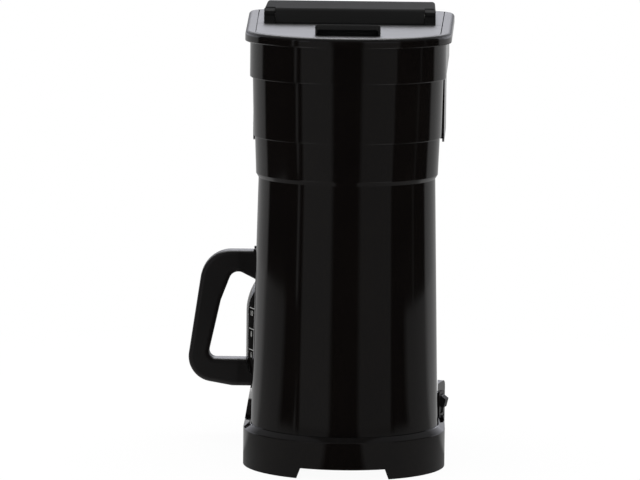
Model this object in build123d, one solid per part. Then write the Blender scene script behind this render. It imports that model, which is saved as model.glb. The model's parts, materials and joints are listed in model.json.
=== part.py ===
from build123d import *
import math
import os

# A tall pour-in drip coffee maker. Millimetres, +Z up, the front faces -Y.

# Fits
press_gap = 0.05
slide_gap = 0.3
seam_gap = 0.7

# Tower shell, from its foot up through the waist to the two bands under the head
tower_foot_radius = 77.5
waist_inset = 4.5
band3_step = 2.1
band_draft = 1.15
band2_step = 1.1
band_round = 0.8
tower_wall = 2.6
lower_tower_height = 205.0
waist_chamfer_height = 3.4
band3_height = 30.6
band2_height = 48.9
tower_front_lap = 0.8

# Base with its shoulder, rear notch and side upstands
base_ledge = 6.3
base_height = 34.6
shoulder_height = 3.9
shoulder_width = 5.2
shoulder_round = 1.0
base_wall = 2.8
base_deck = 3.0
notch_low_half = 37.6
notch_high_half = 34.5
notch_height = 8.5
service_hole_half = 26.0
upstand_gap = 0.5
upstand_top_width = 1.9
upstand_height = 21.0
upstand_rear_reach = 31.5
upstand_arch_reach = 57.5
upstand_arch_height = 18.0

# Bottom plate, feet and screws
plate_floor_z = 9.5
plate_thickness = 1.5
screw_edge = 12.0
screw_angle = 20.0
boss_radius = 5.0
screw_radius = 1.5
screw_head_radius = 3.6
screw_head_height = 2.0
screw_length = 12.0
foot_edge = 16.5
foot_angle = 42.0
foot_radius = 9.0
vent_half_width = 20.0
vent_thickness = 4.0
vent_pitch = 12.0
vent_count = 5
gland_edge = 29.0
gland_radius = 7.0
gland_lip = 2.5
gland_lip_height = 2.2
gland_bore = 3.6
terminal_size = (36.0, 18.0, 13.0)
terminal_gap = 26.0

# Warmer
warmer_radius = 66.0
warmer_hole_radius = 60.0
warmer_seat_depth = 1.5
warmer_gasket_height = 0.8
warmer_plate_height = 4.0
element_outer = 54.0
element_inner = 30.0
element_height = 5.0
bracket_width = 14.0
bracket_thickness = 1.5
bracket_post = 3.0

# Rocker switches
bezel_lap = 0.85
bezel_height = 1.5
switch_body_depth = 12.0
switch_lip = 1.6
rocker_long = 15.0
rocker_short = 9.4
rocker_proud = 2.2
rocker_dip = 1.0
thumb_height = 5.0
thumb_slope = 1.7
thumb_end = 1.5
rocker_sunk = 3.0
rocker_tilt = 14.0
rocker_pocket_depth = 8.0
trunnion_radius = 1.1
trunnion_length = 0.9

# Side switch pad: turned a little to the back so that the switch can be seen from there
pad_turn = 15.0
pad_length = 25.0
pad_drop = 15.6
pad_rise = 26.4
pad_round = 5.0
pad_reach = 57.5
pad_depth = 9.0
side_switch_shift = 4.0
side_switch_lift = 8.4

# Front switch pad
front_pad_half = 17.0
front_pad_proud = 1.5
front_pad_low_z = 5.0
front_pad_high_z = 29.0
front_switch_z = 18.5

# Head housing: floor, upper band, rim and the cheeks around the funnel
band1_step = 2.3
band1_height = 29.5
rim_overhang = 4.2
rim_height = 8.6
rim_round = 3.6
rim_lip = 4.2
rim_flare = 1.16
rim_strip = 8.5
panel_ledge = 1.5
panel_thickness = 4.4
panel_skin = 2.4
panel_skirt = 3.0
head_front_reach = 94.5
head_front_bow = 4.0
head_corner_radius = 28.0
head_wall = 2.6
head_floor = 2.5
floor_cup_gap = 10.0
floor_outlet_gap = 4.0
cheek_inset = 2.0
cheek_wall = 1.7
cheek_drop = 62.5
cheek_lap = 19.0
cheek_corner = 18.0
front_wall_drop = 37.5
front_mouth_half = 78.0

# Hood on the front cover, with the lid hinged at its rear ends
hood_reach = 74.3
hood_height = 12.9
hood_half = 72.0
hood_crest_length = 85.0
hood_length = 162.0
hood_toe_height = 1.0
hood_wall = 2.6
hood_round = 2.5
hinge_setback = 5.7
hinge_lift = 6.4
knuckle_radius = 6.0
knuckle_length = 9.0
pin_radius = 1.6
pin_depth = 2.4
lid_front_gap = 1.3
ear_reach = 8.6
ear_round = 0.8

# Finger grip on the lid
grip_half = 26.5
grip_edge = 29.5
grip_depth = 18.0
grip_stem = 8.0
grip_front_height = 4.5
grip_height = 9.3
grip_pocket_height = 4.9
grip_pocket_round = 2.0
grip_cheek = 1.6
grip_round = 4.0
grip_edge_round = 1.0

# Fill bowl and the valve that the closed lid holds open
bowl_clearance = 8.0
bowl_front_gap = 2.0
bowl_height = 27.0
bowl_wall = 1.8
bowl_floor = 2.0
valve_reach = 5.5
drain_radius = 5.0
valve_travel = 5.0
stem_radius = 2.5
cap_radius = 7.5
cap_height = 2.3
cap_top_lift = 13.2
seal_radius = 9.0
seal_height = 3.0
stem_end_radius = 4.0
stem_end_height = 1.7
post_radius = 5.0
spring_radius = 6.2
spring_wire = 0.5
spring_turns = 4

# Hot-water tank and what sits on it
tank_clearance = 14.2
tank_wall = 1.0
tank_head_room = 60.5
tank_flange = 5.8
tank_column_gap = 0.4
tank_gasket_height = 2.0
tank_lid_height = 3.0
tank_bolt_count = 6
tank_bolt_radius = 1.6
tank_bolt_head_radius = 2.6
tank_bolt_head_height = 2.4
stand_height = 35.4
stand_inset = 2.0
stand_wall = 7.0
stand_window_half = 22.0
stand_window_height = 22.0
heater_edge = 20.2
heater_tube_radius = 3.3
heater_low_lift = 22.0
heater_gap_angle = 60.0
heater_terminal = 12.0
fill_tube_radius = 5.0
fill_tube_bore = 3.8
fill_tube_low_lift = 15.0
cup_radius = 14.0
cup_height = 16.0
cup_wall = 1.5
cup_lift = 29.0
probe_radius = 3.0
probe_length = 110.0
thermostat_edge = 22.2
thermostat_size = (20.0, 16.0, 16.0)
limiter_radius = 8.0
limiter_height = 7.0

# Way from the tank to the spray head
outlet_edge = 12.7
outlet_radius = 6.0
outlet_bore = 4.0
outlet_bend = 11.0
outlet_run_lift = 15.0
spray_collar_radius = 9.0
spray_collar_height = 2.0
spray_tube_radius = 6.0
spray_tube_drop = 31.5
spray_head_radius = 30.0
spray_head_height = 2.5
spray_nut_radius = 10.0
spray_nut_height = 6.0
spray_hole_radius = 1.3
spray_rings = ((6, 14.0), (12, 24.0))

# Brew funnel on its rails
rail_lap = 3.5
rail_height = 4.0
rail_low_lift = 2.0
rail_end_gap = 3.4
rail_front_reach = 65.0
flange_lap = 14.0
flange_height = 3.0
flange_front_reach = 72.0
funnel_mouth = 66.0
funnel_shoulder = 62.5
funnel_floor_radius = 36.0
funnel_wall = 2.2
funnel_rim_lift = 14.0
pour_gap = 23.2
funnel_floor_drop = 4.0
funnel_spout_radius = 9.0
funnel_spout_length = 10.0
funnel_rib_count = 10
funnel_rib_depth = 2.0
funnel_rib_thickness = 1.6
grip_plate_half = 30.0
grip_plate_length = 40.0
grip_plate_height = 14.0
grip_plate_corner = 14.0
grip_plate_wall = 3.0
grip_plate_low = 4.0

# Front column that closes the tower behind the carafe
column_clearance = 2.8
column_wall = 2.6
column_flange = 2.6

# Carafe, set down a little to the handle side of its station
carafe_x = 5.2
carafe_radius = 82.0
carafe_foot_radius = 58.0
carafe_belly_low = 30.0
carafe_foot_bulge = (74.5, 9.5)
carafe_belly_high = 68.0
carafe_neck_start = 111.8
carafe_neck_radius = 52.0
carafe_neck_height = 124.0
glass_wall = 2.4
carafe_lift = 0.2
collar_height = 11.0
collar_wall = 5.0
spout_reach = 12.0
spout_tip_radius = 4.0
spout_lean = 35.0
spout_wall = 2.0
spout_depth = 6.0
spout_half = 15.0
ear_half_gap = 10.1
ear_thickness = 2.0
ear_length = 19.0
ear_height = 9.0
carafe_lid_radius = 55.0
carafe_lid_height = 3.0
carafe_lid_plug = 7.0
carafe_lid_wall = 2.4
carafe_lid_hole = 9.0
carafe_lid_dip = 5.0
lid_mouth_depth = 12.0
handle_half = 10.0
handle_round = 4.0
handle_top_reach = 36.2
handle_top_lift = 120.9
handle_low_reach = 52.4
handle_low_lift = 10.3
handle_foot_reach = 11.8
handle_foot_lift = 3.2
handle_root_lift = 84.6
handle_inner_top = (11.4, 105.5)
handle_inner_mid = (22.3, 76.9)
handle_inner_low = (33.3, 26.9)
handle_outer_top_round = 27.0
handle_outer_low_round = 22.0
handle_inner_top_round = 8.0
handle_inner_low_round = 6.0
bolt_radius = 2.0
bolt_head_radius = 4.0
bolt_head_height = 2.5
bolt_reach = 9.8

# Radii that follow from the tower's foot
waist_radius = tower_foot_radius - waist_inset
band3_low_radius = waist_radius + band3_step
band3_high_radius = band3_low_radius + band_draft
band2_low_radius = band3_high_radius + band2_step
band2_high_radius = band2_low_radius + band_draft
band1_radius = band2_high_radius + band1_step
rim_radius = band1_radius + rim_overhang
base_radius = tower_foot_radius + base_ledge
tank_radius = waist_radius - tower_wall - tank_clearance
column_radius = carafe_radius + carafe_x + column_clearance
heater_ring_radius = tank_radius - heater_edge
collar_radius = carafe_neck_radius + press_gap + collar_wall
flange_half = funnel_shoulder + flange_lap

# Plan: the tower stands behind, the carafe and the funnel share a station in front of it
station_spacing = column_radius + column_wall + tank_column_gap + tank_flange + tank_radius
tower_y = station_spacing / 2
station_y = -station_spacing / 2
tower_inner = waist_radius - tower_wall
tower_front_y = station_y + math.sqrt(column_radius**2 - tower_inner**2) - tower_front_lap
cheek_rear_y = tower_front_y + cheek_lap
rail_rear_y = tower_front_y - column_flange - rail_end_gap
hood_rear_y = tower_y - hood_reach
hinge_y = hood_rear_y - hinge_setback
lid_front_y = hood_rear_y + lid_front_gap
grip_rear_y = tower_y + rim_radius - grip_edge
valve_y = tower_y - valve_reach
outlet_y = tower_y - tank_radius + outlet_edge
bowl_front_y = outlet_y + outlet_radius + bowl_front_gap
gland_y = tower_y + base_radius - base_wall - gland_edge
terminal_y = gland_y - terminal_gap
thermostat_x = thermostat_edge - tank_radius
bolt_x = carafe_x + collar_radius + bolt_reach

# Switch sizes that follow from the rocker
switch_hole_short = rocker_short + 2 * (slide_gap + switch_lip)
switch_hole_long = rocker_long + 4 * slide_gap + 2 * switch_lip
switch_short = switch_hole_short + 2 * bezel_lap
switch_long = switch_hole_long + 2 * bezel_lap

# Heights that follow from the stack
waist_z = base_height + lower_tower_height
band3_z = waist_z + waist_chamfer_height
band2_z = band3_z + band3_height
head_z = band2_z + band2_height
rim_low_z = head_z + band1_height
rim_top_z = rim_low_z + rim_height
panel_low_z = rim_top_z - panel_thickness
floor_top_z = head_z + head_floor
cheek_low_z = head_z - cheek_drop
plate_top_z = plate_floor_z + plate_thickness
deck_low_z = base_height - base_deck
seat_z = base_height - warmer_seat_depth
warmer_low_z = seat_z + warmer_gasket_height
warmer_top_z = warmer_low_z + warmer_plate_height
carafe_z = warmer_top_z + carafe_lift
carafe_lip_z = carafe_z + carafe_neck_height
side_switch_z = base_height + side_switch_lift
tank_low_z = base_height + stand_height
tank_top_z = head_z - tank_head_room
tank_lid_z = tank_top_z + tank_gasket_height
tank_lid_top_z = tank_lid_z + tank_lid_height
rail_z = cheek_low_z + rail_low_lift
flange_z = rail_z + rail_height + slide_gap
spout_low_z = carafe_lip_z + carafe_lid_height + pour_gap
hinge_z = rim_top_z + hinge_lift
bowl_z = floor_top_z
cap_top_z = bowl_z + bowl_floor + cap_top_lift
seal_top_z = bowl_z - valve_travel - slide_gap


# Plain shapes
def prism(outline, low, high):
    return Pos(0, 0, low) * extrude(outline, high - low, dir=(0, 0, 1))


def rod(x, y, low, high, radius):
    return prism(Pos(x, y) * Circle(radius), low, high)


def pipe(x, y, low, high, outer, inner):
    return prism(Pos(x, y) * (Circle(outer) - Circle(inner)), low, high)


def block(x, y, z):
    size = [span[1] - span[0] for span in (x, y, z)]
    middle = [(span[0] + span[1]) / 2 for span in (x, y, z)]
    return Pos(*middle) * Box(*size)


def section(points):
    return Plane.XZ * make_face(Polyline(*points, close=True))


def side_view(points):
    return Plane.YZ * make_face(Polyline(*points, close=True))


def turned(points, x, y):
    return Pos(x, y, 0) * revolve(section(points), Axis.Z)


def both_sides(shape):
    return shape + mirror(shape, Plane.YZ)


def wrapped(points, front_y, rounded=()):
    """Carry a wall section round the back of the tower and forward along both sides."""
    face = make_face(Polyline(*points, close=True))
    for x, z in rounded:
        face = fillet(face.vertices().sort_by_distance((x, z, 0))[0], band_round)
    face = Plane.XZ * face
    rear = revolve(face, Axis.Z, 180)
    side = extrude(face, tower_y - front_y, dir=(0, -1, 0))
    return Pos(0, tower_y, 0) * (rear + both_sides(side))


# Outlines
def racetrack(radius):
    return Rot(0, 0, 90) * SlotCenterToCenter(station_spacing, 2 * radius)


def tower_outline(inset):
    step_z = band2_z + inset
    return [
        (tower_foot_radius - inset, base_height),
        (waist_radius - inset, waist_z),
        (band3_low_radius - inset, band3_z),
        (band3_high_radius - inset, step_z),
        (band2_low_radius - inset, step_z),
        (band2_high_radius - inset, head_z),
    ]


def band_corners():
    """Lower outer corners of the tower's two bands, which are rounded."""
    return [(band3_low_radius, band3_z), (band2_low_radius, band2_z)]


def tower_block(inset, front_y, rounded=()):
    return wrapped([(0, base_height)] + tower_outline(inset) + [(0, head_z)], front_y, rounded)


def head_half_width(y, inset):
    flare = math.radians(rim_flare)
    return (rim_radius - inset) / math.cos(flare) + (tower_y - y) * math.tan(flare)


def head_outline(inset=0.0):
    """Plan of the head: round at the back, flared sides and a bowed front with round corners."""
    radius = rim_radius - inset
    flare = math.radians(rim_flare)
    front_y = station_y - head_front_reach + inset
    corner_y = front_y + head_front_bow
    corner_x = head_half_width(corner_y, inset)
    start = (radius * math.cos(flare), tower_y + radius * math.sin(flare))
    rear = CenterArc((0, tower_y), radius, rim_flare, 180 - 2 * rim_flare)
    right = Line(start, (corner_x, corner_y))
    front = ThreePointArc((corner_x, corner_y), (0, front_y), (-corner_x, corner_y))
    left = Line((-corner_x, corner_y), (-start[0], start[1]))
    outline = make_face([rear, right, front, left])
    return fillet(outline.vertices().group_by(Axis.Y)[0], head_corner_radius - inset)


def panel_strip(gap, low_y, high_y):
    """Plan of the middle of the top, between the two seams."""
    inset = rim_strip + gap
    low_half = head_half_width(low_y, inset)
    high_half = head_half_width(high_y, inset)
    corners = [(-low_half, low_y), (low_half, low_y), (high_half, high_y), (-high_half, high_y)]
    return make_face(Polyline(*corners, close=True))


def mount_points(edge, angle):
    """Four points of the base, in from the wall on its two round ends."""
    reach = base_radius - base_wall - edge
    x = reach * math.cos(math.radians(angle))
    y = station_spacing / 2 + reach * math.sin(math.radians(angle))
    return [(side * x, end * y) for side in (-1, 1) for end in (-1, 1)]


# Rocker switches, drawn on a plane whose Z points out of the panel and whose Y is the long way
def side_switch_plane():
    turn = math.radians(pad_turn)
    along = (math.sin(turn), math.cos(turn), 0)
    out = (-math.cos(turn), math.sin(turn), 0)
    pad_x = -(base_radius + tower_foot_radius + upstand_gap) / 2
    pad_y = tower_y - pad_reach
    middle = (pad_x + along[0] * side_switch_shift, pad_y + along[1] * side_switch_shift, side_switch_z)
    return Plane(origin=middle, x_dir=along, z_dir=out)


def front_switch_plane():
    front_y = station_y - base_radius - front_pad_proud
    return Plane(origin=(0, front_y, front_switch_z), x_dir=(0, 0, 1), z_dir=(0, -1, 0))


def switch_body(gap):
    """Block that fills the hole a switch needs, grown all round by a gap."""
    short = switch_hole_short + 2 * gap
    long = switch_hole_long + 2 * gap
    return Pos(0, 0, -(switch_body_depth + gap) / 2) * Box(short, long, switch_body_depth + gap)


def switch_frame(plane):
    pocket = Box(rocker_short + 2 * slide_gap, rocker_long + 4 * slide_gap, 2 * rocker_pocket_depth)
    bezel = Pos(0, 0, bezel_height / 2) * Box(switch_short, switch_long, bezel_height)
    bezel = fillet(bezel.edges().filter_by(Axis.Z), switch_lip)
    pivot = Rot(0, 90, 0) * Cylinder(trunnion_radius + press_gap, rocker_short + 2 * (slide_gap + trunnion_length))
    return plane * (bezel + switch_body(0) - pocket - pivot)


def switch_rocker(plane, tilt):
    """Rocker on two trunnions, with a raised thumb block on one half."""
    half = rocker_long / 2
    points = [
        (-half, -rocker_sunk),
        (-half, rocker_dip),
        (-half + thumb_slope, thumb_height),
        (thumb_end, thumb_height),
        (thumb_end, rocker_dip),
        (half, rocker_proud),
        (half, -rocker_sunk),
        (0, -rocker_sunk - rocker_dip),
    ]
    face = Plane.YZ * make_face(Polyline(*points, close=True))
    rocker = extrude(face, rocker_short / 2, both=True)
    trunnion = Rot(0, 90, 0) * Cylinder(trunnion_radius, rocker_short + 2 * trunnion_length)
    return plane * (Rot(tilt, 0, 0) * (rocker + trunnion))


# Base
def upstand():
    """Fin of the base that rises outside the tower's foot and dies away towards the back."""
    inner = tower_foot_radius + upstand_gap
    skirt_z = base_height - shoulder_height
    top_z = base_height + upstand_height
    fin = section([
        (inner, deck_low_z),
        (base_radius, skirt_z),
        (inner + upstand_top_width, top_z),
        (inner, top_z),
    ])
    front_y = tower_front_y - column_flange
    upstand_rear_y = tower_y - upstand_rear_reach
    upstand_arch_y = tower_y - upstand_arch_reach
    fin = Pos(0, upstand_rear_y, 0) * extrude(fin, upstand_rear_y - front_y, dir=(0, -1, 0))
    arch = ThreePointArc(
        (front_y, top_z), (upstand_arch_y, base_height + upstand_arch_height), (upstand_rear_y, base_height)
    )
    rest = Polyline(
        (upstand_rear_y, base_height), (upstand_rear_y, deck_low_z), (front_y, deck_low_z), (front_y, top_z)
    )
    return fin & extrude(Plane.YZ * make_face([arch, rest]), 2 * base_radius)


def side_pad():
    """Flat seat of the side switch, with its top corners rounded."""
    inner = tower_foot_radius + upstand_gap
    x = (-side_switch_shift - pad_length / 2, -side_switch_shift + pad_length / 2)
    slab = block(x, (side_switch_lift - pad_rise, side_switch_lift + pad_drop), (-pad_depth, 0))
    top = slab.edges().filter_by(Axis.Z).group_by(Axis.Y)[0]
    slab = side_switch_plane() * fillet(top, pad_round)
    return slab & block((-2 * base_radius, -inner), (-tower_y, tower_y), (0, base_height + pad_rise))


def side_switch_room():
    """Space outside the pad: the fin stops at the pad, and the shoulder is cut back round the switch."""
    half_short = switch_short / 2 + seam_gap
    half_long = switch_long / 2 + seam_gap
    fin = block((-side_switch_shift - pad_length / 2, pad_length), (-pad_rise, side_switch_lift), (0, pad_depth))
    switch = block((-half_short, half_short), (-half_long, half_long), (0, pad_depth))
    return side_switch_plane() * (fin + switch)


def make_base_housing():
    skirt_z = base_height - shoulder_height
    lean = math.degrees(math.atan(shoulder_width / shoulder_height))
    shell = prism(racetrack(base_radius), 0, skirt_z)
    shell += Pos(0, 0, skirt_z) * extrude(racetrack(base_radius), shoulder_height, taper=lean)
    shell = fillet(shell.edges().filter_by(Plane.XY).group_by(Axis.Z)[1:], shoulder_round)
    front_y = station_y - base_radius - front_pad_proud
    shell += block(
        (-front_pad_half, front_pad_half),
        (front_y, front_y + front_pad_half),
        (front_pad_low_z, front_pad_high_z),
    )
    shell -= prism(racetrack(base_radius - base_wall), 0, deck_low_z)
    shell += both_sides(upstand()) + side_pad()
    shell -= side_switch_room()
    for x, y in mount_points(screw_edge, screw_angle):
        shell += rod(x, y, plate_top_z, deck_low_z, boss_radius)
        shell -= rod(x, y, plate_top_z, plate_top_z + screw_length, screw_radius)
    shell -= rod(0, station_y, 0, base_height, warmer_hole_radius)
    shell -= rod(0, station_y, seat_z, base_height, warmer_radius + slide_gap)
    shell -= block(
        (-service_hole_half, service_hole_half),
        (tower_y - service_hole_half, tower_y + service_hole_half),
        (deck_low_z, base_height),
    )
    notch = section([
        (-notch_low_half, 0),
        (notch_low_half, 0),
        (notch_high_half, notch_height),
        (-notch_high_half, notch_height),
    ])
    shell -= Pos(0, tower_y, 0) * extrude(notch, 2 * base_radius, dir=(0, 1, 0))
    shell -= side_switch_plane() * switch_body(press_gap)
    shell -= front_switch_plane() * switch_body(press_gap)
    return shell


def make_bottom_plate():
    plate = prism(racetrack(base_radius - base_wall - slide_gap), plate_floor_z, plate_top_z)
    for x, y in mount_points(screw_edge, screw_angle):
        plate -= rod(x, y, plate_floor_z, plate_top_z, screw_radius + press_gap)
    first = -(vent_count - 1) / 2 * vent_pitch
    for i in range(vent_count):
        slot = Pos(0, first + i * vent_pitch) * SlotOverall(2 * vent_half_width, vent_thickness)
        plate -= prism(slot, plate_floor_z, plate_top_z)
    return plate - rod(0, gland_y, plate_floor_z, plate_top_z, gland_radius)


def make_feet():
    return Part() + [rod(x, y, 0, plate_floor_z, foot_radius) for x, y in mount_points(foot_edge, foot_angle)]


def make_plate_screws():
    screws = []
    for x, y in mount_points(screw_edge, screw_angle):
        head = rod(x, y, plate_floor_z - screw_head_height, plate_floor_z, screw_head_radius)
        screws.append(head + rod(x, y, plate_floor_z, plate_top_z + screw_length, screw_radius))
    return Part() + screws


def make_cord_gland():
    low_z = plate_floor_z - gland_lip_height
    high_z = plate_top_z + gland_lip_height
    bush = rod(0, gland_y, plate_floor_z, plate_top_z, gland_radius)
    bush += rod(0, gland_y, low_z, plate_floor_z, gland_radius + gland_lip)
    bush += rod(0, gland_y, plate_top_z, high_z, gland_radius + gland_lip)
    return bush - rod(0, gland_y, low_z, high_z, gland_bore)


def make_terminal_block():
    width, depth, height = terminal_size
    y = (terminal_y - depth / 2, terminal_y + depth / 2)
    body = block((-width / 2, width / 2), y, (plate_top_z, plate_top_z + height))
    for i in (-1, 0, 1):
        body -= rod(i * width / 3, terminal_y, plate_top_z + height / 2, plate_top_z + height, depth / 6)
    return body


# Warmer
def make_warmer_gasket():
    return pipe(0, station_y, seat_z, warmer_low_z, warmer_radius, warmer_hole_radius)


def make_warmer_plate():
    plate = rod(0, station_y, warmer_low_z, warmer_top_z, warmer_radius)
    plate = fillet(plate.edges().group_by(Axis.Z)[-1], warmer_plate_height / 3)
    return plate


def make_warmer_element():
    return pipe(0, station_y, warmer_low_z - element_height, warmer_low_z, element_outer, element_inner)


def make_warmer_bracket():
    top_z = warmer_low_z - element_height
    low_z = top_z - bracket_thickness
    half = (warmer_hole_radius + base_radius - base_wall + bracket_post) / 2
    y = (station_y - bracket_width / 2, station_y + bracket_width / 2)
    bar = block((-half, half), y, (low_z, top_z))
    post = block((half - bracket_post, half), y, (low_z, deck_low_z))
    return bar + both_sides(post)


# Tower
def make_tower_shell():
    wall = tower_outline(0) + tower_outline(tower_wall)[::-1]
    shell = wrapped(wall, tower_front_y, band_corners())
    return shell - side_switch_plane() * switch_body(press_gap)


def make_front_column():
    front_y = tower_front_y - column_flange
    arc_wall = pipe(0, station_y, base_height, head_z, column_radius + column_wall, column_radius)
    cavity = tower_block(tower_wall, front_y)
    edge = block((-base_radius, base_radius), (front_y, tower_front_y), (base_height, head_z))
    flange = tower_block(0, front_y, band_corners()) & edge
    column = (arc_wall & cavity) + flange
    return column - rod(0, station_y, base_height, head_z, column_radius)


# Head
def rim_blank():
    blank = prism(head_outline(), rim_low_z, rim_top_z)
    blank = fillet(blank.edges().group_by(Axis.Z)[-1], rim_round)
    return fillet(blank.edges().group_by(Axis.Z)[0], band_round)


def band_blank():
    blank = prism(head_outline(rim_overhang), head_z, rim_low_z)
    return fillet(blank.edges().group_by(Axis.Z)[0], band_round)


def cheek_side():
    """Side view of the cheeks, round at the lower rear corner."""
    far = 2 * station_spacing
    outline = make_face(Polyline(
        (cheek_rear_y, head_z), (cheek_rear_y, cheek_low_z), (-far, cheek_low_z), (-far, head_z), close=True
    ))
    corner = outline.vertices().sort_by_distance((cheek_rear_y, cheek_low_z, 0))[0]
    return extrude(Plane.YZ * fillet(corner, cheek_corner), far, both=True)


def make_head_housing():
    far = 2 * station_spacing
    pocket = panel_strip(0, -far, far) & head_outline(rim_lip)
    rim = rim_blank() - prism(pocket, panel_low_z, rim_top_z)
    rim -= prism(head_outline(rim_strip + panel_ledge), rim_low_z, rim_top_z)
    band = band_blank() - prism(head_outline(rim_overhang + head_wall), floor_top_z, rim_low_z)
    housing = rim + band
    cheek_plan = head_outline(rim_overhang + cheek_inset) - head_outline(rim_overhang + cheek_inset + cheek_wall)
    cheeks = prism(cheek_plan, cheek_low_z, head_z) & cheek_side()
    cheeks -= block(
        (-front_mouth_half, front_mouth_half),
        (-far, station_y - funnel_mouth),
        (cheek_low_z, head_z - front_wall_drop),
    )
    housing += cheeks
    half = cup_radius + floor_cup_gap
    housing -= block(
        (-half, half),
        (outlet_y - outlet_radius - floor_outlet_gap, valve_y + half),
        (head_z, floor_top_z),
    )
    return housing - rod(0, station_y, head_z, floor_top_z, spray_tube_radius)


def panel(low_y, high_y):
    """Part of the middle of the top, skinned and skirted, that drops in behind the rim's lip."""
    far = 2 * station_spacing
    edge = rim_lip + seam_gap
    plate = prism(panel_strip(seam_gap, low_y, high_y) & head_outline(edge), panel_low_z, rim_top_z)
    hollow = panel_strip(seam_gap + panel_skirt, -far, far) & head_outline(edge + panel_skirt)
    hollow &= Pos(0, (low_y + high_y) / 2) * Rectangle(far, high_y - low_y - 2 * panel_skirt)
    return plate - prism(hollow, panel_low_z, rim_top_z - panel_skin)


def hood_block(inset):
    """Hood with an upright rear, a level crest and a long round slope to the front."""
    rear = hood_rear_y - inset
    top = rim_top_z + hood_height - inset
    crest = (hood_rear_y - hood_crest_length, top)
    toe = (hood_rear_y - hood_length + inset, rim_top_z + hood_toe_height - inset)
    slope = TangentArc(crest, toe, tangent=(-1, 0))
    rest = Polyline(toe, (toe[0], panel_low_z), (rear, panel_low_z), (rear, top), crest)
    return extrude(Plane.YZ * make_face([slope, rest]), hood_half - inset, both=True)


def rounded_hood():
    hood = hood_block(0)
    crest = hood.edges().filter_by(lambda edge: edge.center().Z > rim_top_z + hood_height / 2)
    across = crest.filter_by(Axis.X).sort_by(Axis.Y)[:-1]
    return fillet([edge for edge in crest if edge not in across], hood_round)


def make_top_cover():
    front_y = station_y - head_front_reach
    notch_front = hinge_y - knuckle_radius - seam_gap
    inner_half = hood_half - knuckle_length - slide_gap
    cover = panel(2 * front_y, hood_rear_y) + (rounded_hood() & block(
        (-hood_half, hood_half), (front_y, hood_rear_y), (rim_top_z - panel_skin, rim_top_z + hood_height)
    ))
    wide = hood_half - hood_wall
    narrow = inner_half - hood_wall
    room_z = (panel_low_z, rim_top_z + hood_height)
    room = block((-wide, wide), (front_y, notch_front - hood_wall), room_z)
    room += block((-narrow, narrow), (notch_front - hood_wall, hood_rear_y), room_z)
    cover -= hood_block(hood_wall) & room
    notch = block((inner_half, 2 * hood_half), (notch_front, hood_rear_y), (rim_top_z, 2 * rim_top_z))
    cover -= both_sides(notch)
    pin = Pos(0, hinge_y, hinge_z) * Rot(0, 90, 0) * Cylinder(pin_radius, 2 * inner_half)
    return cover - pin


def make_hinge_pins():
    start = hood_half - knuckle_length - slide_gap - pin_depth
    end = hood_half - slide_gap
    pin = Pos((start + end) / 2, hinge_y, hinge_z) * Rot(0, 90, 0) * Cylinder(pin_radius, end - start)
    return Part() + [pin, mirror(pin, Plane.YZ)]


def lid_ear():
    low = rim_top_z + hinge_lift - knuckle_radius
    knuckle = Plane.YZ * (Pos(hinge_y, hinge_z) * Circle(knuckle_radius))
    neck = side_view([
        (hinge_y, low),
        (lid_front_y, low),
        (lid_front_y, rim_top_z - panel_skin),
        (hinge_y + ear_reach, rim_top_z - panel_skin),
        (hinge_y + ear_reach, rim_top_z),
        (hinge_y + knuckle_radius, hinge_z),
        (hinge_y, hinge_z),
    ])
    ear = extrude(knuckle + neck, knuckle_length, dir=(1, 0, 0))
    outer = ear.faces().sort_by(Axis.X)[-1].edges()
    ear = fillet(outer.filter_by(lambda edge: edge.center().Z > low + ear_round), ear_round)
    bore = Plane.YZ * (Pos(hinge_y, hinge_z) * Circle(pin_radius + press_gap))
    ear -= extrude(bore, knuckle_length, dir=(1, 0, 0))
    return Pos(hood_half - knuckle_length, 0, 0) * ear


def finger_grip():
    """Ramp that rises to the rear of the lid, with a finger pocket under its lip."""
    front = grip_rear_y - grip_depth
    foot = rim_top_z - panel_skin
    ramp = side_view([
        (front, foot),
        (front, rim_top_z + grip_front_height),
        (grip_rear_y, rim_top_z + grip_height),
        (grip_rear_y, foot),
    ])
    ramp = extrude(ramp, grip_half, both=True)
    ramp = fillet(ramp.edges().filter_by(Axis.Z).group_by(Axis.Y)[-1], grip_round)
    ramp = fillet(ramp.faces().sort_by(Axis.Z)[-1].edges(), grip_edge_round)
    half = grip_half - grip_cheek
    pocket = block((-half, half), (front + grip_stem, 2 * grip_rear_y), (rim_top_z, rim_top_z + grip_pocket_height))
    pocket = fillet(pocket.edges().filter_by(Axis.Y).group_by(Axis.Z)[-1], grip_pocket_round)
    return ramp - pocket


def make_lid():
    lid = panel(lid_front_y, 2 * station_spacing) + both_sides(lid_ear()) + finger_grip()
    return lid + rod(0, valve_y, cap_top_z + slide_gap, rim_top_z - panel_skin, post_radius)


def make_funnel_rails():
    y = (station_y - rail_front_reach, rail_rear_y)
    bar = block((flange_half - rail_lap, 2 * rim_radius), y, (rail_z, rail_z + rail_height))
    room = prism(head_outline(rim_overhang + cheek_inset + cheek_wall), rail_z, rail_z + rail_height)
    rail = bar & room
    return Part() + [rail, mirror(rail, Plane.YZ)]


# Water path
def bowl_plan(inset):
    radius = rim_radius - rim_overhang - head_wall - bowl_clearance - inset
    front = bowl_front_y + inset
    return Pos(0, tower_y) * Circle(radius) & Pos(0, front + radius) * Rectangle(2 * radius, 2 * radius)


def make_fill_bowl():
    bowl = prism(bowl_plan(0), bowl_z, bowl_z + bowl_height)
    bowl -= prism(bowl_plan(bowl_wall), bowl_z + bowl_floor, bowl_z + bowl_height)
    return bowl - rod(0, valve_y, bowl_z, bowl_z + bowl_floor, drain_radius)


def make_valve_plunger():
    low = seal_top_z - seal_height
    plunger = rod(0, valve_y, low, cap_top_z - cap_height, stem_radius)
    plunger += rod(0, valve_y, cap_top_z - cap_height, cap_top_z, cap_radius)
    return plunger + rod(0, valve_y, low - stem_end_height, low, stem_end_radius)


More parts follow.
